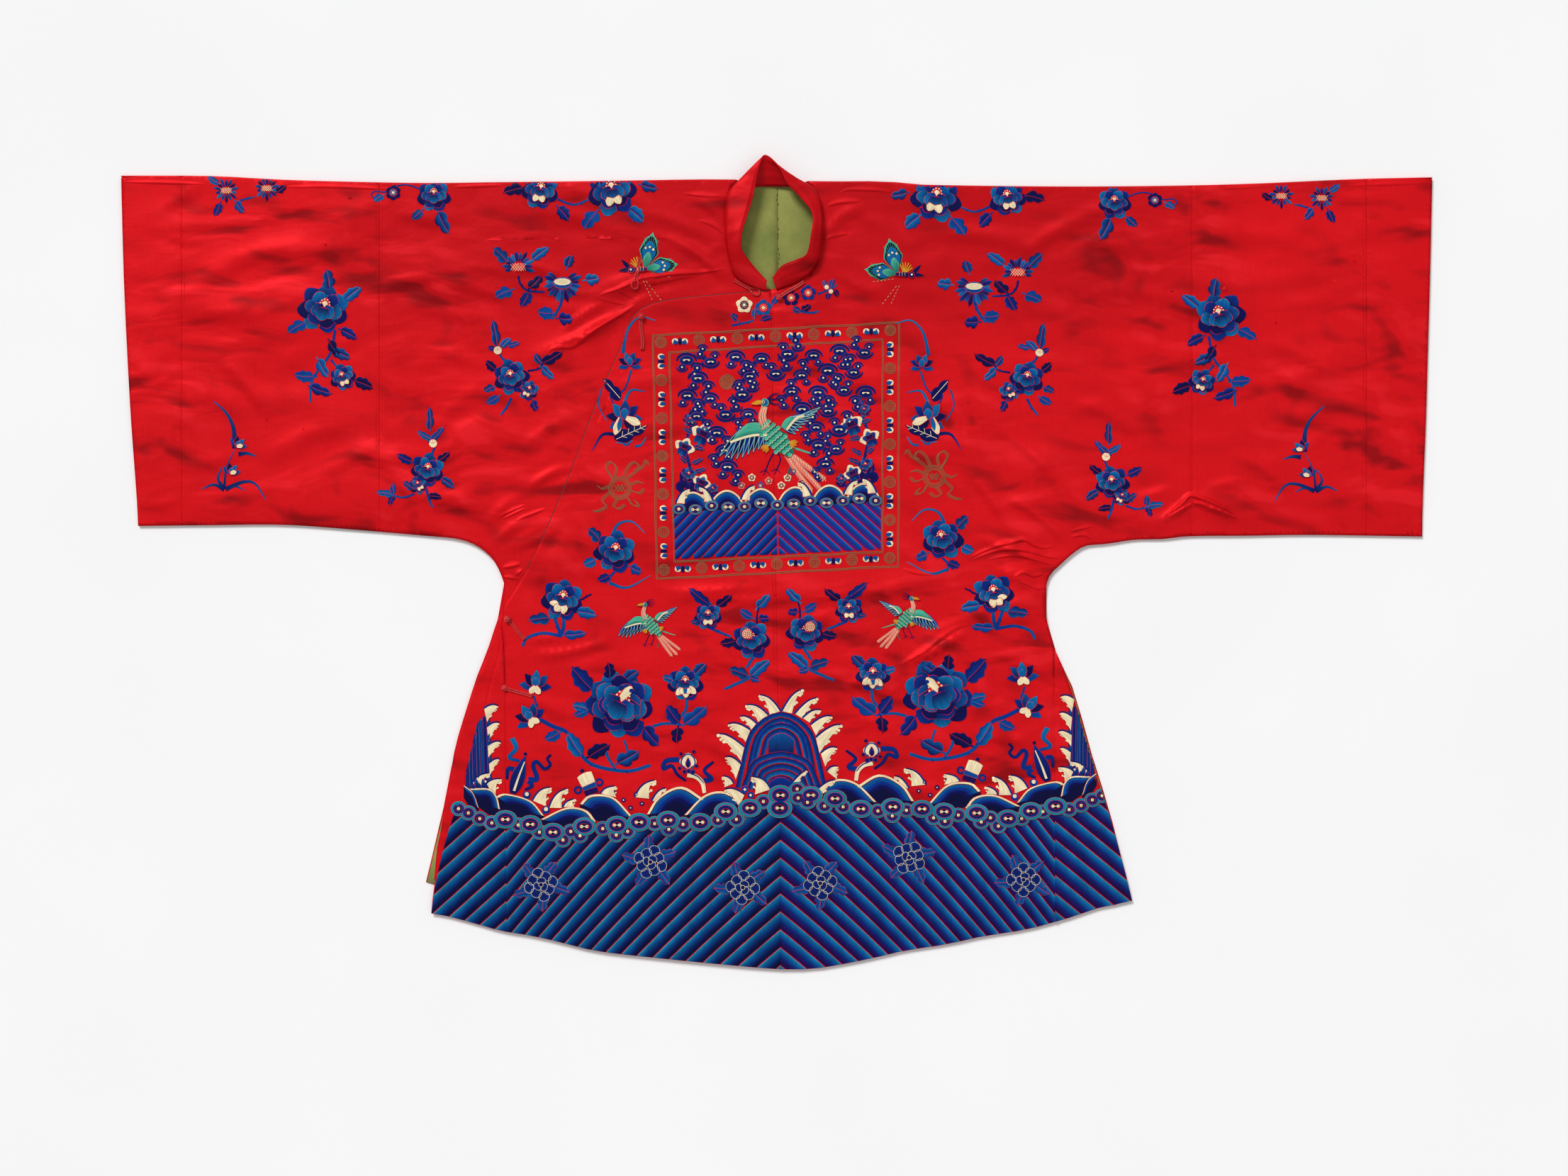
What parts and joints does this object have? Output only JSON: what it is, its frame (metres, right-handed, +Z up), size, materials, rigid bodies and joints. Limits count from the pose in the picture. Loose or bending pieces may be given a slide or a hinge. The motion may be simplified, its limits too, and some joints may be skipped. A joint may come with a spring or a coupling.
{
  "type": "embroidered robe",
  "caption": "Long-sleeved satin stage robe with a side-closing front, standing collar, knotted buttons and dense floral embroidery, laid out flat with its front up.",
  "frame": {"origin": "centre of the footprint of the robe, on the surface that it lies on", "axes": "+X along the sleeves towards the wearer's left, +Y from hem to collar, +Z up from the surface, out of the robe's front"},
  "size_m": [1.6085, 0.9965, 0.0268],
  "materials": {
    "red_satin": "satin, embroidered",
    "red_cord": "rolled satin cord",
    "green_cotton": "plain cotton"
  },
  "bodies": {
    "root": {"body_left": "red_satin", "body_right": "red_satin", "overlap": "red_satin", "overlap_gore": "red_satin", "left_gore": "red_satin", "sleeve_left": "red_satin", "sleeve_right": "red_satin", "cuff_left": "red_satin", "cuff_right": "red_satin", "collar": "red_satin", "lining_left": "green_cotton", "lining_right": "green_cotton", "button_collar": "red_cord", "button_chest": "red_cord", "button_side_upper": "red_cord", "button_side_lower": "red_cord", "loop_collar": "red_cord", "loop_chest": "red_cord"}
  },
  "joints": []
}
